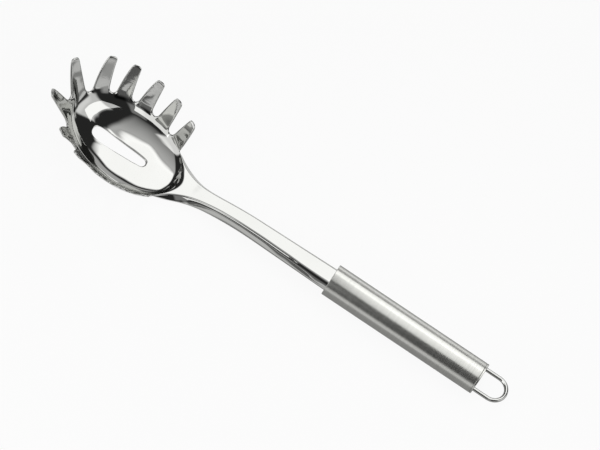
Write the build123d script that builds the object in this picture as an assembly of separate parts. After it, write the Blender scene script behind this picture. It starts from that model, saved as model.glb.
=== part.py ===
from build123d import *
import math
import os

# Pasta server of stainless steel, all sizes in millimetres.
# X runs along the tool from the tines to the hanging loop, Z is up, and the tool is mirrored about Y = 0.
# Everything is built with X = 0 at the front end of the handle and Z = 0 on the handle's axis.
# The last step sets the whole tool down on Z = 0 with its middle over the origin.

# Head: one pressing of sheet, with the bowl, the tines and the shank
sheet = 1.2
bowl_reach = 150.0
head_length = 101.4
head_width = 76.4
head_rise = 35.8

# Ovals of the bowl's inside, from the flat floor to the tine tips, as shares of the head's sizes:
# front end, front height, rear end, rear height, half width, and the slope of the wall in degrees.
bowl_level_shares = [
    (-0.040, 0.000, 0.256, 0.000, 0.262, 0),
    (-0.118, 0.014, 0.294, 0.002, 0.376, 8),
    (-0.187, 0.051, 0.328, 0.009, 0.476, 17),
    (-0.250, 0.114, 0.359, 0.020, 0.567, 28),
    (-0.306, 0.206, 0.386, 0.037, 0.649, 42),
    (-0.353, 0.337, 0.409, 0.060, 0.717, 57),
    (-0.517, 1.000, 0.483, 0.514, 1.000, 59),
]
tip_overrun_share = 0.35

# Tines, as shares of the half turn round the bowl from its front, first at the root and then at the tip
tine_turn_shares = [
    (0.081, 0.118),
    (0.239, 0.306),
    (0.367, 0.411),
    (0.486, 0.519),
    (0.603, 0.616),
    (0.722, 0.719),
]
tine_tip_width = 5.6
tine_tip_round = 1.8
gap_round = 2.1
gap_bottom_share = 0.03
front_gap_bottom_share = 0.17
gap_reach = 8.0

# Drain slot in the floor, a teardrop with its wide end towards the front
slot_front_radius = 5.0
slot_rear_radius = 2.8
slot_length = 37.5
slot_setback = 1.25

# Shank, an upturned channel that bends down and widens into the bowl
shank_drop = 8.7
shank_top = 4.1
shank_half_width = 5.7
flank_spread = 2.8
flank_depth = 5.0
shoulder_radius = 2.4
neck_end_share = 0.316
neck_clear_share = 0.327
neck_reach = bowl_reach - neck_end_share * head_length
neck_clear_reach = bowl_reach - neck_clear_share * head_length
neck_clear_round = 3.0
tang_length = 15.0

# Stations at even steps from the handle to the neck's end, as shares of the drop,
# of the half width at the handle, of the flank's spread and of its depth.
shank_shares = [
    (0.00, 1.00, 1.00, 1.00),
    (0.00, 0.97, 0.98, 1.02),
    (0.00, 0.94, 0.96, 1.04),
    (0.00, 0.91, 0.94, 1.06),
    (0.00, 0.88, 0.92, 1.08),
    (0.00, 0.85, 0.90, 1.09),
    (0.02, 0.83, 0.88, 1.10),
    (0.11, 0.81, 0.87, 1.10),
    (0.30, 0.80, 0.88, 1.08),
    (0.54, 0.81, 0.95, 1.02),
    (0.78, 1.04, 1.15, 0.84),
    (0.96, 1.76, 1.40, 0.55),
    (1.03, 2.90, 0.80, 0.34),
]

# Handle: a plain round tube, closed by a cap at each end
tube_diameter = 20.5
tube_wall = 0.5
tube_length = 105.4
tube_edge_chamfer = 0.2
# The bowl's underside is level with the tube's, so the tool lies flat on both
bowl_drop = tube_diameter / 2 - sheet
cap_clearance = 0.05
front_cap_thickness = 2.0
rear_cap_flange = 1.6
rear_cap_spigot = 5.0
rear_cap_chamfer = 0.8

# Hanging loop: one bent wire with its ends upset inside the rear cap
wire_diameter = 2.6
leg_spacing = 15.9
loop_reach = 18.7
leg_clearance = 0.05
leg_head_diameter = 3.2
leg_head_length = 1.5


def bowl_level(shares, skin):
    """The plane, half length and half width of one oval, moved out by the skin along the wall."""
    front, front_height, rear, rear_height, half, slope = shares
    outward = skin * math.sin(math.radians(slope))
    down = skin * math.cos(math.radians(slope))
    front_end = Vector(front * head_length - outward, 0, front_height * head_rise - down)
    rear_end = Vector(rear * head_length + outward, 0, rear_height * head_rise - down)
    floor = Vector(-bowl_reach, 0, -bowl_drop)
    middle = floor + (front_end + rear_end) / 2
    along = rear_end - front_end
    level = Plane(origin=middle, x_dir=-along, z_dir=along.cross(Vector(0, -1, 0)))
    return level, along.length / 2, half * head_width / 2 + outward


def stretched(low, high, share):
    """The oval that lies past the high one, on the line through the low and the high one."""
    (low_plane, low_long, low_wide), (high_plane, high_long, high_wide) = low, high
    origin = high_plane.origin + (high_plane.origin - low_plane.origin) * share
    x_dir = high_plane.x_dir + (high_plane.x_dir - low_plane.x_dir) * share
    level = Plane(origin=origin, x_dir=x_dir, z_dir=x_dir.cross(Vector(0, 1, 0)))
    return level, high_long + (high_long - low_long) * share, high_wide + (high_wide - low_wide) * share


def bowl_volume(skin):
    """The bowl as a solid, with a skin of sheet round it or none, each band of wall steeper than the last."""
    levels = [bowl_level(shares, skin) for shares in bowl_level_shares]
    past_tips = stretched(levels[-2], levels[-1], tip_overrun_share)
    ovals = [level * Ellipse(long, wide) for level, long, wide in levels[:-1] + [past_tips]]
    return loft(ovals, ruled=True)


def wall_point(turns, height_share):
    """A point in the middle of the wall, between the oval of the roots and that of the tips."""
    points = []
    for shares, turn in zip(bowl_level_shares[-2:], turns):
        level, half_long, half_wide = bowl_level(shares, sheet / 2)
        on_oval = Vector(half_long * math.cos(turn * math.pi), half_wide * math.sin(turn * math.pi), 0)
        points.append(level.from_local_coords(on_oval))
    root, tip = points
    return root + (tip - root) * height_share


def tip_point(tine):
    """The middle of a tine's tip."""
    return wall_point(tine, 1)


def touch_point(centre, radius, outside, side):
    """Where a line from the outside point touches the circle, on its left (1) or its right (-1)."""
    away = outside - centre
    turn = math.degrees(math.acos(radius / away.length))
    return centre + away.normalized().rotate(Axis.Z, side * turn) * radius


def corner_bite(corner, inward, downward):
    """What rounding takes off a tine's tip corner, between its tip line and its side line."""
    bisector = (inward.normalized() + downward.normalized()).normalized()
    half_turn = math.radians(bisector.get_angle(downward))
    centre = corner + bisector * tine_tip_round / math.sin(half_turn)
    reach = tine_tip_round / math.tan(half_turn)
    touches = [corner + way.normalized() * reach for way in (inward, downward)]
    outer = [centre + (touch - centre) * 2 for touch in touches]
    far = centre + (corner - centre) * 2
    kite = make_face(Polyline(centre, outer[0], far, outer[1], centre))
    return kite - Pos(centre.X, centre.Y) * Circle(tine_tip_round)


def gap_cutter(tine, neighbour, bottom_share):
    """A V with a round bottom, square to the wall between two tines, that also rounds their tips."""
    between = [(turn + other_turn) / 2 for turn, other_turn in zip(tine, neighbour)]
    bottom = wall_point(between, bottom_share)
    tip = tip_point(tine)
    other_tip = tip_point(neighbour)
    across = (other_tip - tip).normalized()
    sides = [tip + across * tine_tip_width / 2, other_tip - across * tine_tip_width / 2]
    upward = (sides[0] + sides[1]) / 2 - bottom
    face_plane = Plane(origin=bottom, x_dir=across, z_dir=across.cross(upward))
    centre = Vector(0, gap_round, 0)
    tops = [face_plane.to_local_coords(side) for side in sides]
    tops = [Vector(top.X, top.Y) for top in tops]
    touches = [touch_point(centre, gap_round, top, turn) for top, turn in zip(tops, (1, -1))]
    past = [touch + (top - touch) * (1 + 2 * tip_overrun_share) for touch, top in zip(touches, tops)]
    outline = ThreePointArc(touches[0], Vector(0, 0, 0), touches[1])
    outline += Polyline(touches[1], past[1], past[0], touches[0])
    opening = make_face(outline)
    for top, touch, inward in zip(tops, touches, (Vector(-1, 0, 0), Vector(1, 0, 0))):
        opening += corner_bite(top, inward, touch - top)
    return extrude(face_plane * opening, amount=gap_reach, both=True)


def tine_plane(tine):
    """The plane that lies along one tine at its tip: X across the tine, Y up along it."""
    along = (tip_point(tine) - wall_point(tine, 0)).normalized()
    across = Vector(0, 0, 1).cross(along)
    return Plane(origin=tip_point(tine), x_dir=across, z_dir=across.cross(along))


def tip_cutter(tine):
    """A block that squares off one tine at its tip."""
    block = Box(tine_tip_width * 2, head_rise, gap_reach * 2, align=(Align.CENTER, Align.MIN, Align.CENTER))
    return tine_plane(tine) * block


def last_corner_cutter(tine):
    """The rounding of the last tine's corner, on the side that faces the handle."""
    level = tine_plane(tine)
    sideways = (-neck_clear_reach - level.origin.X) / level.x_dir.X
    corner = Vector(sideways, 0, 0)
    downward = Vector(level.y_dir.X / level.x_dir.X, -1, 0)
    bite = corner_bite(corner, Vector(-sideways, 0, 0), downward)
    return extrude(level * bite, amount=gap_reach, both=True)


def shank_section(shares, reach):
    """The channel's outline across the tool at one station."""
    drop, half, spread, depth = shares
    top = shank_top - drop * shank_drop
    half_top = half * shank_half_width
    out = spread * flank_spread
    down = depth * flank_depth
    slant = math.hypot(out, down)
    inner_top = half_top + sheet * (out - slant) / down
    inner_foot = half_top + out - sheet * slant / down
    outline = Polygon(
        (-half_top - out, top - down),
        (-half_top, top),
        (half_top, top),
        (half_top + out, top - down),
        (inner_foot, top - down),
        (inner_top, top - sheet),
        (-inner_top, top - sheet),
        (-inner_foot, top - down),
        align=None,
    )
    shoulders = [v for v in outline.vertices() if abs(v.Y - top) < sheet / 2]
    outline = fillet(shoulders, shoulder_radius)
    inner = [v for v in outline.vertices() if abs(v.Y - top + sheet) < sheet / 4 and abs(v.X) < half_top]
    outline = fillet(inner, shoulder_radius - sheet)
    station = Plane(origin=(-reach, 0, 0), x_dir=(0, 1, 0), z_dir=(1, 0, 0))
    return station * outline


def shank():
    """The channel from the bowl to the handle, with its straight tang inside the handle."""
    steps = len(shank_shares) - 1
    sections = [shank_section(row, neck_reach * step / steps) for step, row in enumerate(shank_shares)]
    channel = loft(sections)
    tang = extrude(shank_section(shank_shares[0], 0), amount=tang_length, dir=(1, 0, 0))
    return channel + tang


def drain_slot():
    """The teardrop cut through the floor: two round ends and the lines that touch both."""
    middle = slot_setback - bowl_reach
    front = Vector(middle - slot_length / 2 + slot_front_radius, 0, 0)
    rear = Vector(middle + slot_length / 2 - slot_rear_radius, 0, 0)
    lean = math.asin((slot_front_radius - slot_rear_radius) / (rear - front).length)
    out = Vector(math.sin(lean), math.cos(lean), 0)
    back = Vector(out.X, -out.Y, 0)
    front_end = front - Vector(slot_front_radius, 0, 0)
    rear_end = rear + Vector(slot_rear_radius, 0, 0)
    corners = [front + out * slot_front_radius, rear + out * slot_rear_radius]
    corners += [rear + back * slot_rear_radius, front + back * slot_front_radius]
    outline = Line(corners[0], corners[1]) + ThreePointArc(corners[1], rear_end, corners[2])
    outline += Line(corners[2], corners[3]) + ThreePointArc(corners[3], front_end, corners[0])
    return extrude(make_face(outline), amount=bowl_drop * 2, both=True)


def neck_clearing():
    """What is cut from the bowl's wall behind the last tines, down to the shank's top face."""
    rim = shank_top - shank_drop
    side = Plane(origin=(-neck_clear_reach, 0, rim), x_dir=(1, 0, 0), z_dir=(0, -1, 0))
    opening = side * Rectangle(head_rise, head_rise, align=(Align.MIN, Align.MIN))
    block = extrude(opening, amount=head_width, both=True)
    corner = block.edges().filter_by(Axis.Y).sort_by(Axis.X)[:2].sort_by(Axis.Z)[0]
    return fillet(corner, neck_clear_round)


def server_head():
    """The whole pressing: bowl with its wall cut into tines, joined to the shank."""
    pairs = list(zip(tine_turn_shares, tine_turn_shares[1:]))
    cutters = [gap_cutter(tine, neighbour, gap_bottom_share) for tine, neighbour in pairs]
    cutters += [tip_cutter(tine) for tine in tine_turn_shares]
    cutters.append(last_corner_cutter(tine_turn_shares[-1]))
    cutters += [mirror(cutter, about=Plane.XZ) for cutter in cutters]
    first = tine_turn_shares[0]
    cutters.append(gap_cutter(first, (-first[0], -first[1]), front_gap_bottom_share))
    cutters.append(drain_slot())
    body = bowl_volume(sheet) - neck_clearing() + shank()
    return body - bowl_volume(0) - cutters


def handle_tube():
    """The tube, with the sharp edge taken off each end."""
    axis_plane = Plane(origin=(0, 0, 0), x_dir=(0, 1, 0), z_dir=(1, 0, 0))
    ring = Circle(tube_diameter / 2) - Circle(tube_diameter / 2 - tube_wall)
    tube = extrude(axis_plane * ring, amount=tube_length)
    outer_edges = tube.edges().filter_by(GeomType.CIRCLE).group_by(SortBy.RADIUS)[-1]
    return chamfer(outer_edges, tube_edge_chamfer)


def front_cap():
    """The disc inside the tube's front end, with the slot that the tang passes through."""
    radius = tube_diameter / 2 - tube_wall - cap_clearance
    face = Plane(origin=(0, 0, 0), x_dir=(0, 1, 0), z_dir=(1, 0, 0))
    disc = extrude(face * Circle(radius), amount=front_cap_thickness)
    slot = offset(shank_section(shank_shares[0], 0).face(), cap_clearance)
    return disc - extrude(slot, amount=front_cap_thickness * 2, dir=(1, 0, 0), both=True)


def rear_cap():
    """The plug that closes the tube's rear end, with a hole for each leg of the loop."""
    rear = Plane(origin=(tube_length, 0, 0), x_dir=(0, 1, 0), z_dir=(1, 0, 0))
    flange = extrude(rear * Circle(tube_diameter / 2), amount=rear_cap_flange)
    flange = chamfer(flange.edges().filter_by(GeomType.CIRCLE).sort_by(Axis.X)[-1], rear_cap_chamfer)
    spigot = extrude(rear * Circle(tube_diameter / 2 - tube_wall - cap_clearance), amount=-rear_cap_spigot)
    hole = Circle(wire_diameter / 2 + leg_clearance)
    holes = Sketch() + [rear * Pos(side * leg_spacing / 2, 0) * hole for side in (-1, 1)]
    return flange + spigot - extrude(holes, amount=tube_length / 4, both=True)


def hanging_loop():
    """The wire: two legs through the rear cap, a half circle between them and an upset head on each."""
    inner_end = tube_length - rear_cap_spigot
    outer_end = tube_length + rear_cap_flange + loop_reach - (leg_spacing + wire_diameter) / 2
    left = Vector(inner_end, -leg_spacing / 2, 0)
    left_turn = Vector(outer_end, -leg_spacing / 2, 0)
    right_turn = Vector(outer_end, leg_spacing / 2, 0)
    right = Vector(inner_end, leg_spacing / 2, 0)
    path = Line(left, left_turn) + RadiusArc(left_turn, right_turn, -leg_spacing / 2)
    path += Line(right_turn, right)
    start = Plane(origin=left, x_dir=(0, 1, 0), z_dir=(1, 0, 0))
    wire = sweep(start * Circle(wire_diameter / 2), path=path)
    for end in (left, right):
        back = Plane(origin=end, x_dir=(0, 1, 0), z_dir=(-1, 0, 0))
        wire += extrude(back * Circle(leg_head_diameter / 2), amount=leg_head_length)
    return wire


pieces = {
    "server_head": server_head(),
    "handle_tube": handle_tube(),
    "front_cap": front_cap(),
    "rear_cap": rear_cap(),
    "hanging_loop": hanging_loop(),
}
whole = Compound(list(pieces.values())).bounding_box()
home = Pos(-whole.center().X, 0, -whole.min.Z)
os.makedirs("parts", exist_ok=True)
for name, piece in pieces.items():
    export_step(home * piece, f"parts/{name}.step")
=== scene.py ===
# %% [markdown]
# # A pasta server of stainless steel
# The tool has five pieces: a pressed head with twelve tines, a round tube for a handle, a cap in each
# of the tube's ends, and a bent wire to hang it by. The packed model gives their sizes and places, and
# this lesson gives them their looks: mirror polish on the pressing, brushing on the handle, bright wire.
# Everything is in metres, +X runs along the tool towards the wire loop, and +Z is up.

# %% Load the frame
import math
import bmesh
import bpy
from mathutils import Matrix, Vector


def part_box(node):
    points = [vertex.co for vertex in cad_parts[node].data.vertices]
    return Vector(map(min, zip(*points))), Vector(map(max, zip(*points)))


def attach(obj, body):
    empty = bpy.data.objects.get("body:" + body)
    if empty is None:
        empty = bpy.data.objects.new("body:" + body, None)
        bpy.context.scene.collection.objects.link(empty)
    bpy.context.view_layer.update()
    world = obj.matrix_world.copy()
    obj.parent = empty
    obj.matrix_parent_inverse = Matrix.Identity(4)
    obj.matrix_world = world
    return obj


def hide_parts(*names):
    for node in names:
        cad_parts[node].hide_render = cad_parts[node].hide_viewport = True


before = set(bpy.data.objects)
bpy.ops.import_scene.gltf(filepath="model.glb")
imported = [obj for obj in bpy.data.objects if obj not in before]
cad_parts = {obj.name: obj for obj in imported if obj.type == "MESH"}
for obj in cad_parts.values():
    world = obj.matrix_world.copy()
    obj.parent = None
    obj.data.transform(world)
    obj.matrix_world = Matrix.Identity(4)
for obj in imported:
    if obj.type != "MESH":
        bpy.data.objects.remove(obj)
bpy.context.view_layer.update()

mm = 0.001

# %% [markdown]
# ## The camera
# The photograph looks down at 60 degrees from the tool's near side, and the camera is rolled so that
# the handle runs down to the right. It is a very long lens from six metres away, so hardly anything
# narrows with distance. We build the camera's own axes from the direction of the tool on the picture and
# hand them to the camera as a matrix, which says all of its turns at once.

# %% Place the camera
tool_slope = math.radians(33.75)
camera_elevation = math.radians(60)
camera_distance = 6.0
field_width = 0.3576
picture_middle = Vector((0.00427, 0.01934, 0.01025))

along_tool = Vector((1, 0, 0))
across_tool = Vector((0, math.sin(camera_elevation), math.cos(camera_elevation)))
to_camera = along_tool.cross(across_tool)
picture_right = along_tool * math.cos(tool_slope) + across_tool * math.sin(tool_slope)
picture_up = to_camera.cross(picture_right)
camera_turn = Matrix((picture_right, picture_up, to_camera)).transposed().to_4x4()

lens_data = bpy.data.cameras.new("camera")
lens_data.sensor_width = 36
lens_data.lens = lens_data.sensor_width * camera_distance / field_width
camera = bpy.data.objects.new("camera", lens_data)
camera.matrix_world = Matrix.Translation(picture_middle + to_camera * camera_distance) @ camera_turn
bpy.context.scene.collection.objects.link(camera)
bpy.context.scene.camera = camera
bpy.context.scene.view_settings.view_transform = "Standard"
print("lens", round(lens_data.lens, 1), "mm")

# %% [markdown]
# ## Shader maths in plain Python
# A shader is a graph of nodes. Writing each Math node by hand is slow to read, so this small class wraps
# one output socket and lets us write `1 - mask` or `a * b + c`: each operator adds the Math node it needs.
# `node` makes any other node: its settings first, then the values or links of its sockets. A socket is
# named with underscores for spaces, or, where several share a name, by its number, as in `i0`.


# %% A socket that does sums
class Wire:
    """One output socket of a shader graph, with Python's operators as Math nodes."""

    def __init__(self, tree, socket=None):
        self.tree = tree
        self.socket = socket

    def node(self, kind, settings=None, **inputs):
        """Adds any node to this graph: its settings first, then the values or links of its sockets."""
        made = self.tree.nodes.new(kind)
        for name, value in (settings or {}).items():
            setattr(made, name, value)
        for name, value in inputs.items():
            key = int(name[1:]) if name[1:].isdigit() else name.replace("_", " ")
            socket = made.inputs[key]
            if isinstance(value, Wire):
                self.tree.links.new(value.socket, socket)
            else:
                socket.default_value = value
        return made

    def out(self, kind, settings=None, output=0, **inputs):
        """The same, but hands back one output of the new node, ready for more sums."""
        return Wire(self.tree, self.node(kind, settings, **inputs).outputs[output])

    def sum_with(self, operation, first, second=0.0):
        return self.out("ShaderNodeMath", {"operation": operation}, i0=first, i1=second)

    def __add__(self, other):
        return self.sum_with("ADD", self, other)

    def __sub__(self, other):
        return self.sum_with("SUBTRACT", self, other)

    def __mul__(self, other):
        return self.sum_with("MULTIPLY", self, other)

    def __truediv__(self, other):
        return self.sum_with("DIVIDE", self, other)

    def __rsub__(self, other):
        return self.sum_with("SUBTRACT", other, self)

    def __rtruediv__(self, other):
        return self.sum_with("DIVIDE", other, self)

    __radd__ = __add__
    __rmul__ = __mul__

    def axes(self):
        """The X, Y and Z of a vector, as three Wires."""
        parts = self.node("ShaderNodeSeparateXYZ", Vector=self)
        return [Wire(self.tree, part) for part in parts.outputs]

    def between(self, low, high, soft):
        """1 where the value lies between low and high, 0 outside, with edges that are soft by this much."""
        rise = self.out("ShaderNodeMapRange", {"interpolation_type": "SMOOTHSTEP"}, Value=self,
                        From_Min=low - soft, From_Max=low + soft)
        fall = self.out("ShaderNodeMapRange", {"interpolation_type": "SMOOTHSTEP"}, Value=self,
                        From_Min=high - soft, From_Max=high + soft)
        return rise * (1 - fall)


def clean_tree(owner):
    """The owner's node graph, emptied, as a Wire with no socket yet."""
    owner.use_nodes = True
    owner.node_tree.nodes.clear()
    return Wire(owner.node_tree)


print("Wire knows", [name for name in vars(Wire) if not name.startswith("_")])

# %% [markdown]
# ## Directions in the studio
# Polished steel has no colour of its own: what we see in it is the room. So the room is drawn first, on
# the sky round the tool. A picture of a real studio would do it too, but we want each light where the
# photograph shows its reflection, so we measure the sky in angles and paint the lights between them.
#
# `tilt` turns about the tool's length, from the near horizon at 0 over the zenith at 90 to the far
# horizon at 180, and `lean` says how far a direction points towards the handle. `height` and `heading`
# are the plain angles over the horizon and round it. The direction comes from the world's own
# coordinates, so the room stays still when the camera walks round the tool.

# %% Measure the sky in degrees
studio = bpy.data.worlds.new("studio")
bpy.context.scene.world = studio
sky = clean_tree(studio)
east, north, up = sky.out("ShaderNodeTexCoord", output="Generated").axes()


def degrees(rise, run):
    """The angle whose rise and run are given, in degrees."""
    return sky.sum_with("ARCTAN2", rise, run) * math.degrees(1)


def length_of(first, second):
    return sky.sum_with("SQRT", first * first + second * second)


tilt = degrees(up, 0 - north)
lean = degrees(east, length_of(north, up))
height = degrees(up, length_of(east, north))
heading = degrees(north, east)
print(len(sky.tree.nodes), "nodes measure the direction")

# %% [markdown]
# ## Lights and cards
# The lights stand in a dark studio, and three cards darken parts of the horizon. The dark parts are what
# gives a spoon on white paper its black edges. The ceiling grows brighter from the near side to the far
# one, the window is a brighter part of the end light, and the paper reaches a few degrees over the
# horizon, except in a gap towards +X.
#
# A light's line begins with its brightness, and a card's line with the share of light that it takes
# away. Each `between` holds two angles and the softness of both edges.

# %% Paint the lights and set the cards
dark_studio = 0.03
far_light = 1.6 * tilt.between(113, 145, 3) * lean.between(-24, 12, 3)
ceiling = 0.66 * tilt.between(62, 113, 5) * lean.between(-30, 13, 4) * ((tilt - 55) / 55)
backdrop = 0.55 * tilt.between(153, 200, 3) * lean.between(-24, 14, 3) * height.between(0, 40, 4)
paper_gap = heading.between(-30, 32, 4) * height.between(1.5, 20, 1.5)
paper = 0.9 * height.between(-91, 9, 4) * (1 - paper_gap)
end_light = 0.85 * height.between(9, 57, 3) * heading.between(-20, 32, 3)
window = 0.22 * height.between(9, 26, 6) * heading.between(-6, 30, 6)
side_light = 0.25 * height.between(10, 55, 4) * heading.between(-82, -60, 3)
tine_light = 1.1 * height.between(-5, 75, 5) * heading.between(-152, -114, 4)
lights = (far_light, ceiling, backdrop, paper, end_light, window, side_light, tine_light)

dark_card = 0.85 * heading.between(-70, -46, 3) * height.between(-8, 20, 4)
grey_card = 0.8 * heading.between(-102, -76, 3) * height.between(0, 14, 1)
thin_card = 0.5 * heading.between(-46, -28, 3) * height.between(-30, 9, 2)
cards = (dark_card, grey_card, thin_card)
room = sum(lights, start=dark_studio)
for card in cards:
    room = room * (1 - card)

camera_ray = sky.out("ShaderNodeLightPath", output="Is Camera Ray")
background = sky.out("ShaderNodeBackground", Color=(1, 1, 1, 1),
                     Strength=room * (1 - camera_ray) + camera_ray)
sky.node("ShaderNodeOutputWorld", Surface=background)
print(len(lights), "lights and", len(cards), "cards in the sky")

# %% [markdown]
# ## Two softboxes
# Two lights stand so close that each part of the tool sees them at another place. A sky has no distance,
# so these are area lights. One whitens the bowl's floor and the other draws the wide light band along
# the handle. The camera doesn't see them.


# %% Place the softboxes
def softbox(name, middle, target, width, tall, power):
    """A rectangular light that faces its target. Sizes are in metres and the power in watts."""
    panel = bpy.data.lights.new(name, "AREA")
    panel.shape = "RECTANGLE"
    panel.size = width
    panel.size_y = tall
    panel.energy = power
    lamp = bpy.data.objects.new(name, panel)
    facing = (Vector(middle) - Vector(target)).to_track_quat("Z", "Y")
    lamp.matrix_world = Matrix.Translation(middle) @ facing.to_matrix().to_4x4()
    lamp.visible_camera = False
    bpy.context.scene.collection.objects.link(lamp)
    print(name, "gives", power, "W")


softbox("bowl_softbox", middle=(-0.13, -0.30, 0.20), target=(-0.11, 0.0, 0.01),
        width=0.26, tall=0.16, power=0.16)
softbox("handle_softbox", middle=(0.145, 0.0, 0.26), target=(0.145, 0.0, 0.01),
        width=0.21, tall=0.27, power=0.145)

# %% [markdown]
# ## The table
# The table is white paper. The camera sees it nearly as bright as it can be, which an Emission shader
# gives, and a share of plain Diffuse keeps the tool's soft shadow on it. Light Path tells the two kinds of
# looking apart: in the steel the paper is dimmer, with painted shade beside and behind the handle and a
# painted dark patch in front of the tool, which the camera sees as plain white paper.

# %% Lay the table
floor_half = 1.2
floor_mesh = bpy.data.meshes.new("table")
floor_form = bmesh.new()
bmesh.ops.create_grid(floor_form, x_segments=4, y_segments=4, size=floor_half)
floor_form.to_mesh(floor_mesh)
floor_form.free()
table = bpy.data.objects.new("table", floor_mesh)
bpy.context.scene.collection.objects.link(table)

white_paper = bpy.data.materials.new("white_paper")
pen = clean_tree(white_paper)
camera_ray = pen.out("ShaderNodeLightPath", output="Is Camera Ray")
glossy_ray = pen.out("ShaderNodeLightPath", output="Is Glossy Ray")
along, across, _ = pen.out("ShaderNodeTexCoord", output="Object").axes()
# Painted shade seen only in the steel: darker paper beside and behind the handle and in front of the tool.
near_shade = 0.62 * across.between(-0.040, 0.0, 0.006) * along.between(-0.05, 0.18, 0.02)
far_shade = 0.62 * across.between(0.0, 0.06, 0.006) * along.between(0.02, 0.18, 0.02)
front_painted_shade = 0.9 * across.between(-0.60, -0.10, 0.02) * along.between(-0.06, 0.03, 0.015)
in_steel = 0.8 * (1 - near_shade - far_shade) * (1 - front_painted_shade)
lit = pen.out("ShaderNodeBsdfDiffuse", Color=(0.92, 0.92, 0.92, 1))
glow = pen.out("ShaderNodeEmission", Color=(1, 1, 1, 1),
               Strength=in_steel * (1 - camera_ray) + camera_ray)
mixed = pen.out("ShaderNodeMixShader", Fac=0.92 * camera_ray + 0.85 * glossy_ray, i1=lit, i2=glow)
pen.node("ShaderNodeOutputMaterial", Surface=mixed)
floor_mesh.materials.append(white_paper)
print("table is", 2 * floor_half, "m wide, with", len(pen.tree.nodes), "nodes in its paper")

# %% [markdown]
# ## Tools for a finish
# Every finish of the tool is bare steel, so they all end in the same shader: a Principled one that is
# fully metallic, whose colour, roughness and bump come from noise in the surface's own coordinates. Noise
# drawn out along one axis gives scratches, and round noise gives haze and waves.


# %% Helpers for the finishes
def start_finish(name):
    """A new material, its emptied node graph and the surface's own coordinates."""
    finish = bpy.data.materials.new(name)
    pen = clean_tree(finish)
    return finish, pen, pen.out("ShaderNodeTexCoord", output="Object")


def noise(pen, place, scale, detail=2.0, stretch=(1, 1, 1)):
    """Noise with so many waves in a metre, drawn out along the axes where the stretch is small."""
    spread = pen.out("ShaderNodeMapping", Vector=place, Scale=stretch)
    return pen.out("ShaderNodeTexNoise", Vector=spread, Scale=scale, Detail=detail)


def tinted(pen, dark, light, share):
    """A colour between two, as a share says. A Mix node keeps its colours in inputs 6 and 7."""
    return pen.out("ShaderNodeMix", {"data_type": "RGBA"}, output=2, i0=share, i6=(*dark, 1),
                   i7=(*light, 1))


def relief(pen, profile, depth):
    """A Bump node's normal, for a profile where a step of 1 is so many metres high."""
    return pen.out("ShaderNodeBump", Height=profile, Strength=1.0, Distance=depth)


def close_finish(pen, colour, roughness, bump):
    """Ends the graph in bare steel."""
    steel = pen.out("ShaderNodeBsdfPrincipled", Base_Color=colour, Metallic=1.0, Roughness=roughness,
                    Normal=bump)
    pen.node("ShaderNodeOutputMaterial", Surface=steel)
    print(len(pen.tree.nodes), "nodes in the finish")


# %% [markdown]
# ## Mirror polish
# The pressing was buffed on soft wheels after it left the dies. The dies leave long, shallow waves in
# the sheet, which bend the reflections, and the wheel leaves a faint haze and fine lines. So a slow noise
# drives a very small bump, and two finer ones vary the roughness. The tines meet pots and pans, so
# their upper ends are a little duller. The loop's wire has the same finish with hardly any waves, and
# it is a little duller all over.

# %% Finishes of the pressing and the wire
waves_per_metre = 48
haze_per_metre = 30
lines_per_metre = 260
lines_along_tool = (0.12, 1, 1)


def polished(name, wave_height, roughness, dull_above=None):
    """Mirror polish. Above the height dull_above, in metres, it grows duller."""
    finish, pen, place = start_finish(name)
    waves = noise(pen, place, waves_per_metre, 1.0)
    haze = noise(pen, place, haze_per_metre, 5.0)
    lines = noise(pen, place, lines_per_metre, 3.0, lines_along_tool)
    sheen = roughness + 0.05 * haze * haze + 0.03 * lines * haze
    if dull_above is not None:
        rise = place.axes()[2]
        worn = pen.out("ShaderNodeClamp", Value=(rise - dull_above) / dull_above)
        sheen = sheen + 0.10 * worn * lines
    colour = tinted(pen, (0.52, 0.523, 0.503), (0.60, 0.602, 0.59), haze)
    close_finish(pen, colour, sheen, relief(pen, waves + 0.02 * lines, wave_height))
    return finish


mirror_steel = polished("mirror_steel", wave_height=0.0007, roughness=0.02, dull_above=0.018)
bright_wire = polished("bright_wire", wave_height=0.00002, roughness=0.06)

# %% [markdown]
# ## Brushed rings
# The tube was turned against a belt, which leaves fine scratches round it. They lie square to the tube's
# length, so the noise is quick along X and slow across it. The caps were faced in a lathe, and their
# marks are circles about the same axis: there the noise follows the distance from the axis.

# %% Finishes of the tube and its caps
tube_low, tube_high = (Vector(corner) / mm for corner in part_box("handle_tube"))
axis_height = (tube_low.z + tube_high.z) / 2
scratches_per_metre = 2400
grooves_per_metre = 700
patches_per_metre = 22
ring_depth = 0.00003


def brushed(name, across_axis=False):
    """Brushed steel with its scratches round the handle, or in circles on a face across its axis."""
    finish, pen, place = start_finish(name)
    if across_axis:
        _, side, rise = place.axes()
        rise = rise - axis_height * mm
        reach = pen.sum_with("SQRT", side * side + rise * rise)
        place = pen.out("ShaderNodeCombineXYZ", X=reach)
    scratches = noise(pen, place, scratches_per_metre, 3.0, (1, 0.01, 0.01))
    grooves = noise(pen, place, grooves_per_metre, 3.0, (1, 0.02, 0.02))
    patches = noise(pen, place, patches_per_metre, 3.0)
    shade = scratches * 0.5 + grooves * 0.35 + patches * 0.15
    colour = tinted(pen, (0.47, 0.472, 0.446), (0.76, 0.762, 0.732), shade)
    sheen = 0.19 + 0.06 * grooves + 0.06 * patches
    close_finish(pen, colour, sheen, relief(pen, scratches * 0.6 + grooves * 0.4, ring_depth))
    return finish


brushed_steel = brushed("brushed_steel")
turned_steel = brushed("turned_steel", across_axis=True)

# %% [markdown]
# ## Dress the packed pieces
# Each piece of the packed model gets its finish. The front cap and the wire loop keep their packed
# shapes, because a disc with a slot and a bent round wire are already as fine as they need to be.

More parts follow.
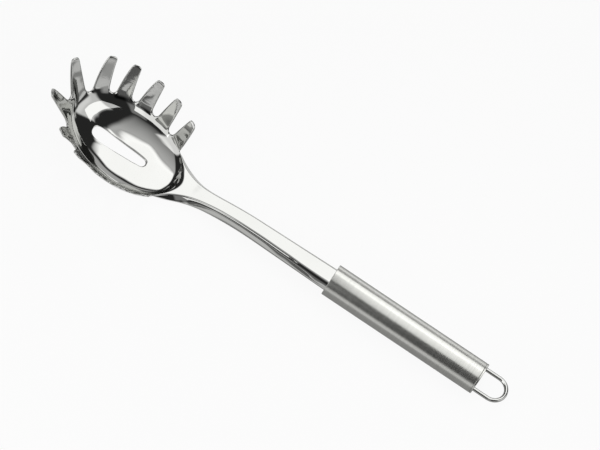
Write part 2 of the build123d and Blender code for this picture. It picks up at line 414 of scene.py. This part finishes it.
# %% Give each packed piece its finish
finishes = {"handle_tube": brushed_steel, "front_cap": turned_steel, "rear_cap": turned_steel,
            "hanging_loop": bright_wire, "server_head": mirror_steel}
for node, finish in finishes.items():
    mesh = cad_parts[node].data
    mesh.materials.clear()
    mesh.materials.append(finish)
    print(node, "wears", finish.name)

# %% [markdown]
# ## The pressed head
# The head is one sheet of steel, pressed between two dies and polished all over, and in a mirror finish
# every small kink of a mesh shows as a kink in the reflections. It could keep the packed mesh, which is
# cut into flat facets, or be sculpted by hand. We draw its inside as one sheet of few, large quads and
# let Subdivision Surface round them, because such a sheet has no kinks. Solidify gives it the thickness
# of the metal after the first step of it, so the second step rounds the cut edges too, as polishing does.

# %% Sizes of the head
head_low, head_high = (Vector(corner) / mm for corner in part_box("server_head"))
sheet = 1.2
bowl_reach = 150.0
head_length = 101.4
head_width = 76.4
head_rise = 35.8
handle_front = tube_low.x
floor_middle = Vector((handle_front - bowl_reach, 0, sheet))
print("head is", [round(size, 1) for size in head_high - head_low], "mm")

# %% [markdown]
# ## The ovals of the bowl
# From above, the bowl is an oval at every height. Six ovals lead from the flat floor up to the roots of
# the tines, and one more passes through the tips. Each oval is longer, wider and higher than the last,
# and above the floor it is higher in front than behind. A smooth curve runs through the first six, and
# above them the wall is straight, as the tines are.

# %% The ovals
# Each row: front end, front height, rear end, rear height and half width, as shares of the head's
# length, rise and width.
oval_shares = [
    (-0.040, 0.000, 0.256, 0.000, 0.262),
    (-0.118, 0.014, 0.294, 0.002, 0.376),
    (-0.187, 0.051, 0.328, 0.009, 0.476),
    (-0.250, 0.114, 0.359, 0.020, 0.567),
    (-0.306, 0.206, 0.386, 0.037, 0.649),
    (-0.353, 0.337, 0.409, 0.060, 0.717),
]
tip_oval_shares = (-0.517, 1.000, 0.483, 0.514, 1.000)
root_level = len(oval_shares) - 1
wall_turn_share = 0.2


def blend_rows(first, second, share):
    return [a + (b - a) * share for a, b in zip(first, second)]


# A row before the first and one after the last tell the curve how to leave the floor and join the wall.
inner_row = blend_rows(oval_shares[0], oval_shares[1], -1)
inner_row[1] = inner_row[3] = 0.0
outer_row = blend_rows(oval_shares[-1], tip_oval_shares, wall_turn_share)
curve_rows = [inner_row, *oval_shares, outer_row]
print(len(oval_shares), "ovals up to the roots")

# %% [markdown]
# ## Any point of the bowl
# A point is found by how far it has turned round the bowl and by its level. Each of the four rows round
# a level gets a weight, and the weights are the usual ones for a smooth curve that passes through every
# row. The last function turns millimetres round the bowl into turn, because the widths of tips and gaps
# are given in millimetres.


# %% From turn and level to a point
def shares_at(level):
    """The oval at any level: a smooth curve through the rows up to the roots, then the straight wall."""
    if level >= root_level:
        return blend_rows(oval_shares[-1], tip_oval_shares, level - root_level)
    step = min(int(level), root_level - 1)
    t = level - step
    weights = (-t + 2 * t**2 - t**3, 2 - 5 * t**2 + 3 * t**3, t + 4 * t**2 - 3 * t**3, t**3 - t**2)
    rows = curve_rows[step:step + 4]
    front, front_height, rear, rear_height, half = (
        sum(weight * row[k] for weight, row in zip(weights, rows)) / 2 for k in range(5))
    return front, max(front_height, 0.0), rear, max(rear_height, 0.0), half


def bowl_point(turn, level):
    """A point of the bowl's inside. Turn is 0 in front and 1 behind, and level -1 is mid-floor."""
    front, front_height, rear, rear_height, half = shares_at(max(level, 0))
    front_end = Vector((front * head_length, 0, front_height * head_rise))
    rear_end = Vector((rear * head_length, 0, rear_height * head_rise))
    middle = (front_end + rear_end) / 2
    out = (front_end - middle) * math.cos(turn * math.pi)
    out += Vector((0, half * head_width / 2, 0)) * math.sin(turn * math.pi)
    return floor_middle + middle + out * (1 + min(level, 0))


def turn_per_mm(turn, level):
    """How much turn one millimetre round the bowl takes at this place."""
    small = 0.001
    return small / (bowl_point(turn + small, level) - bowl_point(turn, level)).length


print("the oval of the roots is widest at", [round(size, 1) for size in bowl_point(0.5, root_level)], "mm")

# %% [markdown]
# ## Tines and gaps
# Each side of the bowl has six tines. A tine is given by where its root and its tip lie round the
# bowl, and a gap by how far up the wall its round bottom stands. The rearmost tine has no gap behind it:
# it runs into the neck, at the height where the shank's top face meets the wall.

# %% Sizes of the tines
tine_turn_shares = [
    (0.081, 0.118),
    (0.239, 0.306),
    (0.367, 0.411),
    (0.486, 0.519),
    (0.603, 0.616),
    (0.722, 0.719),
]
gap_bottom_share = 0.03
front_gap_bottom_share = 0.17
tine_tip_width = 5.6
gap_corner = 2.26
gap_corner_rise = 0.9
gap_middle_drop = 0.46
neck_turn = 0.775
crease_height = 5.55


def wall_length(turn):
    return (bowl_point(turn, root_level + 1) - bowl_point(turn, root_level)).length


def crease_share(turn):
    """How far up the wall the shank's top face meets it."""
    low, high = (bowl_point(turn, root_level + up).z for up in (0, 1))
    return max((crease_height - low) / (high - low), 0.0)


def gap_middle(number):
    """The turn and the wall share at the bottom of a gap, counted from the one at the front."""
    if number == 0:
        return 0.0, front_gap_bottom_share
    before, after = tine_turn_shares[number - 1:number + 1]
    root, tip = ((a + b) / 2 for a, b in zip(before, after))
    return root + (tip - root) * gap_bottom_share, gap_bottom_share


print("above the roots the wall measures", round(wall_length(0), 1), "mm in front and",
      round(wall_length(1), 1), "mm behind")

# %% [markdown]
# ## Columns round the bowl
# The sheet is a grid: its columns run up the wall and its rows run round it. Each tine takes five
# columns, which draw together towards its tip, and one more column stands in the middle of each gap.
# Behind the last tine a few columns lead into the shank. One side is worked out and the other mirrors it.

# %% Lay out the columns
tine_column_shares = (-1.0, -0.55, 0.0, 0.55, 1.0)
rear_turn_shares = (0.13, 0.30, 0.52, 0.76, 1.0)


def tine_edge(gap_number, side):
    """The foot of a tine's edge, beside the gap with this number: its turn and its wall share."""
    if gap_number == len(tine_turn_shares):
        return neck_turn, crease_share(neck_turn)
    turn, share = gap_middle(gap_number)
    corner_turn = turn + side * gap_corner * turn_per_mm(turn, root_level + share)
    return corner_turn, share + gap_corner_rise / wall_length(turn)


columns = []
for number, (_, tip_turn) in enumerate(tine_turn_shares):
    turn, share = gap_middle(number)
    columns.append({"kind": "gap", "base": (turn, share - gap_middle_drop / wall_length(turn))})
    edges = tine_edge(number, 1), tine_edge(number + 1, -1)
    half_tip = tine_tip_width / 2 * turn_per_mm(tip_turn, root_level + 1)
    for place in tine_column_shares:
        columns.append({"kind": "tine", "base": blend_rows(*edges, (place + 1) / 2),
                        "tip": tip_turn + place * half_tip, "edge": abs(place) == 1.0})
last_edge = columns[-1]["base"][0]
for share in rear_turn_shares:
    turn = last_edge + (1 - last_edge) * share
    columns.append({"kind": "rear", "base": (turn, crease_share(turn))})
side_count = len(columns) - 1
print(len(columns), "columns on each side")

# %% [markdown]
# ## The drain slot
# The slot in the floor is a teardrop. The lowest row of the grid lies on its edge, so each column has to
# know at which level it meets the slot. Halving the range again and again finds that place quickly.

# %% Find the slot on each column
slot_front_radius = 5.0
slot_rear_radius = 2.8
slot_length = 37.5
slot_setback = 1.25
slot_middle = handle_front + slot_setback - bowl_reach
slot_front = slot_middle - slot_length / 2 + slot_front_radius
slot_span = slot_length - slot_front_radius - slot_rear_radius
slot_taper = (slot_front_radius - slot_rear_radius) / slot_span
halvings = 24


def outside_slot(point):
    """How far a point lies outside the teardrop, in millimetres, negative inside it."""
    along, across = point.x - slot_front, abs(point.y)
    upright = math.sqrt(1 - slot_taper**2)
    along_side = along * upright - across * slot_taper
    if along_side < 0:
        return math.hypot(along, across) - slot_front_radius
    if along_side > slot_span * upright:
        return math.hypot(along - slot_span, across) - slot_rear_radius
    return along * slot_taper + across * upright - slot_front_radius


def slot_level(turn):
    """The level at which a column leaves the slot."""
    low, high = -1.0, float(root_level)
    for _ in range(halvings):
        middle = (low + high) / 2
        if outside_slot(bowl_point(turn, middle)) < 0:
            low = middle
        else:
            high = middle
    return high


print("slot ends at level", round(slot_level(0), 2), "in front and", round(slot_level(0.5), 2),
      "at the side")

# %% [markdown]
# ## The sheet as a grid
# `create_grid` gives a flat sheet with the right number of columns and rows, and moving its corners onto
# the bowl shapes it. Its rows lie closer together beside the slot, at the roots and at the tips, which
# keeps those edges tight when they are subdivided. The outer corners of the tips lie a little lower, so
# that the tips come out round.

# %% Bend the grid into the bowl
lower_row_shares = (0.0, 0.05, 0.17, 0.31, 0.46, 0.61, 0.75, 0.88, 1.0)
upper_row_shares = (0.14, 0.38, 0.64, 0.86, 1.0)
tip_corner_drop = 1.0
rows = len(lower_row_shares) + len(upper_row_shares)
base_row = len(lower_row_shares) - 1
all_columns = 2 * side_count + 1


def sheet_point(column, row):
    """Where one corner of the grid lies, in millimetres. Columns left of the front one are mirrored."""
    plan = columns[abs(column)]
    turn, share = plan["base"]
    if row <= base_row:
        low = slot_level(turn)
        point = bowl_point(turn, low + (root_level + share - low) * lower_row_shares[row])
    elif "tip" in plan:
        up = upper_row_shares[row - base_row - 1]
        is_tip_corner = plan["edge"] and up == 1
        tip_share = 1 - tip_corner_drop / wall_length(turn) if is_tip_corner else 1
        point = bowl_point(turn + (plan["tip"] - turn) * up, root_level + share + (tip_share - share) * up)
    else:
        point = bowl_point(turn, root_level + share)
    return point * Vector((1, -1, 1)) if column < 0 else point


def fill_grid(form, column_count, row_count, place):
    """Adds a grid, moves each corner to where place(column, row) says, and gives back its corners."""
    made = bmesh.ops.create_grid(form, x_segments=column_count - 1, y_segments=row_count - 1, size=1.0)
    corners = {}
    for vert in made["verts"]:
        column = round((vert.co.x + 1) / 2 * (column_count - 1))
        row = round((vert.co.y + 1) / 2 * (row_count - 1))
        corners[column, row] = vert
        vert.co = place(column, row)
    return corners


head_form = bmesh.new()
bowl_corners = fill_grid(head_form, all_columns, rows,
                         lambda column, row: sheet_point(column - side_count, row))
print(len(head_form.verts), "corners and", len(head_form.faces), "faces before the gaps are cut")

# %% [markdown]
# ## The gaps between the tines
# In a factory such gaps are punched out of the blank. Here they are cut by deleting: first every
# corner above the roots that belongs to no tine, and then the faces that still bridge from a tine to a
# gap. A cut with a plane or a Boolean would leave slivers, which a mirror finish shows.

# %% Cut the gaps
kinds = {cell: columns[abs(cell[0] - side_count)]["kind"] for cell in bowl_corners}
above_roots = {cell for cell in bowl_corners if cell[1] > base_row}
spare_cells = {cell for cell in above_roots if kinds[cell] != "tine"}
bmesh.ops.delete(head_form, geom=[bowl_corners[cell] for cell in spare_cells], context="VERTS")

cell_of = {vert: cell for cell, vert in bowl_corners.items() if cell not in spare_cells}
bridges = []
for face in head_form.faces:
    cells = [cell_of[vert] for vert in face.verts]
    if above_roots.intersection(cells) and len({kinds[cell] for cell in cells}) > 1:
        bridges.append(face)
bmesh.ops.delete(head_form, geom=bridges, context="FACES_ONLY")
print(len(head_form.faces), "faces are left")

# %% [markdown]
# ## The shank's sections
# The shank is a channel: a flat top with its flanks rolled down, which makes thin sheet stiff. It drops
# from the handle to the bowl and widens into the neck, where the channel grows shallow. We give its
# section at even steps and blend between them. It could also be a profile on a bent path, but a profile
# can't open out into the neck.

# %% Sections of the shank
shank_drop = 8.7
shank_top = 4.1
shank_half_width = 5.7
flank_spread = 2.8
flank_depth = 5.0
neck_end_share = 0.316
neck_reach = bowl_reach - neck_end_share * head_length

# From the handle to the neck's end. Each row: shares of the drop, of the half width at the handle, of
# the flank's spread and of its depth.
shank_shares = [
    (0.00, 1.00, 1.00, 1.00),
    (0.00, 0.97, 0.98, 1.02),
    (0.00, 0.94, 0.96, 1.04),
    (0.00, 0.91, 0.94, 1.06),
    (0.00, 0.88, 0.92, 1.08),
    (0.00, 0.85, 0.90, 1.09),
    (0.02, 0.83, 0.88, 1.10),
    (0.11, 0.81, 0.87, 1.10),
    (0.30, 0.80, 0.88, 1.08),
    (0.54, 0.81, 0.95, 1.02),
    (0.78, 1.04, 1.15, 0.84),
    (0.96, 1.76, 1.40, 0.55),
    (1.03, 2.90, 0.80, 0.34),
]


def shank_sizes(x):
    """The shank at one place: height of its top, half width, and the flank's spread and depth."""
    steps = len(shank_shares) - 1
    place = min(max((handle_front - x) / neck_reach * steps, 0), steps)
    step = min(int(place), steps - 1)
    drop, half, spread, depth = blend_rows(shank_shares[step], shank_shares[step + 1], place - step)
    top = axis_height + shank_top - drop * shank_drop
    return top, half * shank_half_width, spread * flank_spread, depth * flank_depth


print("shank is", round(2 * shank_sizes(handle_front)[1], 1), "mm wide on top, at the handle")

# %% [markdown]
# ## Rows from the neck to the tang
# The shank's grid starts on the rear columns of the bowl, so the two meet corner to corner, and each
# later row is one section of the channel. The bowl's wall is round behind, so the first rows are bowed:
# their feet lie furthest forward. The last rows are straight, and they end as the tang in the handle.

# %% Lay out the rows
# Each row: how far behind the last tine the flank's foot, the shoulder and the middle lie.
neck_rows = [
    (1.2, 6.4, 12.2),
    (4.0, 9.2, 15.2),
    (8.5, 13.2, 18.6),
    (14.5, 18.3, 22.6),
    (21.5, 24.2, 27.2),
    (29.5, 31.2, 33.2),
    (38.5, 39.3, 40.2),
]
straight_step = 9.2
neck_start = bowl_point(last_edge, root_level).x
tang_end = head_high.x - mm
shank_rows = [tuple(neck_start + reach for reach in row) for row in neck_rows]
neck_end = shank_rows[-1][2]
straight_count = max(round((tang_end - neck_end) / straight_step), 1)
for number in range(1, straight_count + 1):
    shank_rows.append((neck_end + (tang_end - neck_end) * number / straight_count,) * 3)
print(len(shank_rows), "rows from x", round(shank_rows[0][0], 1), "to", round(shank_rows[-1][0], 1), "mm")

# %% [markdown]
# ## The channel as a grid
# Across the channel the grid has a foot, a point half way down the flank and a shoulder on each side,
# and a flat top between. The column beside the shoulder lies close to it and keeps the bend tight, as a
# press does. In the neck the flanks grow from nothing, on a curve that starts and ends softly.

# %% Bend the grid into the channel
flank_growth = 9.0
bend_inset = 1.5
bend_rise = 0.12
shank_side = len(rear_turn_shares)


def shank_point(column, row):
    """Where one corner of the shank's grid lies. Column 0 is the left foot and the middle one the ridge."""
    side = column - shank_side
    out = abs(side)
    if row == 0:
        return sheet_point((side_count - out) * (-1 if side < 0 else 1), base_row)
    foot, shoulder, middle = shank_rows[row - 1]
    if out >= shank_side - 1:
        grown = min(max((foot - neck_start) / flank_growth, 0.0), 1.0)
        grown = grown * grown * (3 - 2 * grown)
        down = 1.0 if out == shank_side else 0.5
        x = shoulder + (foot - shoulder) * down
        top, half, spread, depth = shank_sizes(x)
        point = Vector((x, half + spread * down, top - depth * down * grown))
    elif out == shank_side - 2:
        top, half, _, _ = shank_sizes(shoulder)
        point = Vector((shoulder, half, top + bend_rise))
    else:
        half = shank_sizes(shoulder)[1]
        across = (half - bend_inset) * out / (shank_side - 3)
        x = shoulder + (middle - shoulder) * (1 - (across / half) ** 2)
        point = Vector((x, across, shank_sizes(x)[0]))
    return point * Vector((1, -1, 1)) if side < 0 else point


fill_grid(head_form, 2 * shank_side + 1, len(shank_rows) + 1, shank_point)
print(len(head_form.faces), "faces in the bowl and the channel")

# %% [markdown]
# ## From a bmesh to a piece
# Every piece that we make ends the same way: its bmesh becomes a mesh with smooth shading and one finish,
# it rides on the tool's one body, and the packed pieces that it stands for are hidden. A second helper
# adds a modifier, and a third one rounds sharp edges with it.


# %% Helpers for the pieces
sharp_degrees = 50


def finished_piece(name, form, finish, slot, *replaced):
    """Turns a bmesh in millimetres into a piece of the tool that stands for packed pieces."""
    bmesh.ops.scale(form, vec=(mm, mm, mm), verts=form.verts)
    mesh = bpy.data.meshes.new(name)
    form.to_mesh(mesh)
    form.free()
    mesh.shade_smooth()
    mesh.materials.append(finish)
    piece = bpy.data.objects.new(name, mesh)
    bpy.context.scene.collection.objects.link(piece)
    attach(piece, "root")
    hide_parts(*replaced)
    print(name, "has", len(mesh.vertices), "corners before its modifiers")
    return piece


def add_modifier(piece, kind, **settings):
    modifier = piece.modifiers.new(kind.lower(), kind)
    for name, value in settings.items():
        setattr(modifier, name, value)


def round_edges(piece, width, segments):
    """A bevel of so many millimetres on every edge where the faces turn by more than sharp_degrees."""
    add_modifier(piece, "BEVEL", width=width * mm, segments=segments, limit_method="ANGLE",
                 angle_limit=math.radians(sharp_degrees), harden_normals=True)


# %% [markdown]
# ## From sheet to pressing
# Merging by distance joins the bowl to the shank, and the bowl's two ends to each other behind. The
# faces must all look up, into the bowl, because Solidify adds the metal on their far side. The metal is
# drawn a hair thinner than the sheet, which keeps its flat underside a fiftieth of a millimetre clear of
# the table.

# %% Join the sheet and give it its thickness
merge_reach = 0.02
metal_share = 0.985
bmesh.ops.remove_doubles(head_form, verts=head_form.verts, dist=merge_reach)
bmesh.ops.recalc_face_normals(head_form, faces=head_form.faces)
lowest_face = min(head_form.faces, key=lambda face: face.calc_center_median().z)
if lowest_face.normal.z < 0:
    bmesh.ops.reverse_faces(head_form, faces=head_form.faces)
open_edges = sum(edge.is_boundary for edge in head_form.edges)
print(open_edges, "open edges round the tines, the slot and the feet")

pressed_head = finished_piece("pressed_head", head_form, mirror_steel, "polished_steel", "server_head")
add_modifier(pressed_head, "SUBSURF", levels=1, render_levels=1)
add_modifier(pressed_head, "SOLIDIFY", thickness=sheet * metal_share * mm, offset=-1,
             use_even_offset=True, use_quality_normals=True)
add_modifier(pressed_head, "SUBSURF", levels=1, render_levels=1)

# %% [markdown]
# ## The handle's tube
# The tube is a length of thin pipe. The packed tube is right in size, but its ends have only a narrow
# flat chamfer outside. Real tube ends are smooth, and that thin round rim is what catches a dark and a
# bright line at each end of the handle. A cylinder with a hole would do too, but one profile that is
# spun round the axis gives the outside, both rims and the inside together.

# %% Spin the tube
spin_steps = 128
tube_wall = 0.5
end_setback = 0.05
tube_radius = (tube_high.z - tube_low.z) / 2
tube_bore = tube_radius - tube_wall
tube_front, tube_rear = tube_low.x + end_setback, tube_high.x


def spin_profile(points, closed):
    """Spins a profile of (place along the tool, radius) points round the handle's axis, in millimetres."""
    form = bmesh.new()
    corners = [form.verts.new((x, 0, axis_height + radius)) for x, radius in points]
    pairs = list(zip(corners, corners[1:])) + ([(corners[-1], corners[0])] if closed else [])
    edges = [form.edges.new(pair) for pair in pairs]
    bmesh.ops.spin(form, geom=corners + edges, cent=(0, 0, axis_height), axis=(1, 0, 0), dvec=(0, 0, 0),
                   angle=2 * math.pi, steps=spin_steps, use_merge=True, use_duplicate=False)
    bmesh.ops.remove_doubles(form, verts=form.verts, dist=merge_reach / 10)
    bmesh.ops.recalc_face_normals(form, faces=form.faces)
    return form


tube_profile = [
    (tube_front, tube_radius),
    (tube_rear, tube_radius),
    (tube_rear, tube_bore),
    (tube_front, tube_bore),
]
handle_sleeve = finished_piece("handle_sleeve", spin_profile(tube_profile, closed=True), brushed_steel,
                               "brushed_steel", "handle_tube")
round_edges(handle_sleeve, width=0.2, segments=3)
print("tube is", round(2 * tube_radius, 2), "mm across and", round(tube_rear - tube_front, 2), "mm long")

# %% [markdown]
# ## The rear cap
# The cap is a plug: a spigot that is pressed into the tube, and a flange as wide as the tube, which
# closes its end. The loop's legs go into it. Its face rises by a quarter of a millimetre towards the
# middle. It is round about the same axis, so it is spun too, and its profile starts and ends on the
# axis, which closes it.

# %% Spin the rear cap
cap_low, cap_high = (Vector(corner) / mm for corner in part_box("rear_cap"))
cap_dome = 0.25
dome_foot_share = 0.8
spigot_radius = tube_bore - end_setback
flange_front = tube_rear + end_setback
flange_rear = cap_high.x - cap_dome
cap_profile = [
    (cap_low.x, 0.0),
    (cap_low.x, spigot_radius),
    (flange_front, spigot_radius),
    (flange_front, tube_radius),
    (flange_rear, tube_radius),
    (flange_rear, tube_radius * dome_foot_share),
    (cap_high.x, 0.0),
]
end_plug = finished_piece("end_plug", spin_profile(cap_profile, closed=False), turned_steel,
                          "brushed_steel", "rear_cap")
round_edges(end_plug, width=0.5, segments=4)
print("flange is", round(cap_high.x - flange_front, 2), "mm thick")

# %% [markdown]
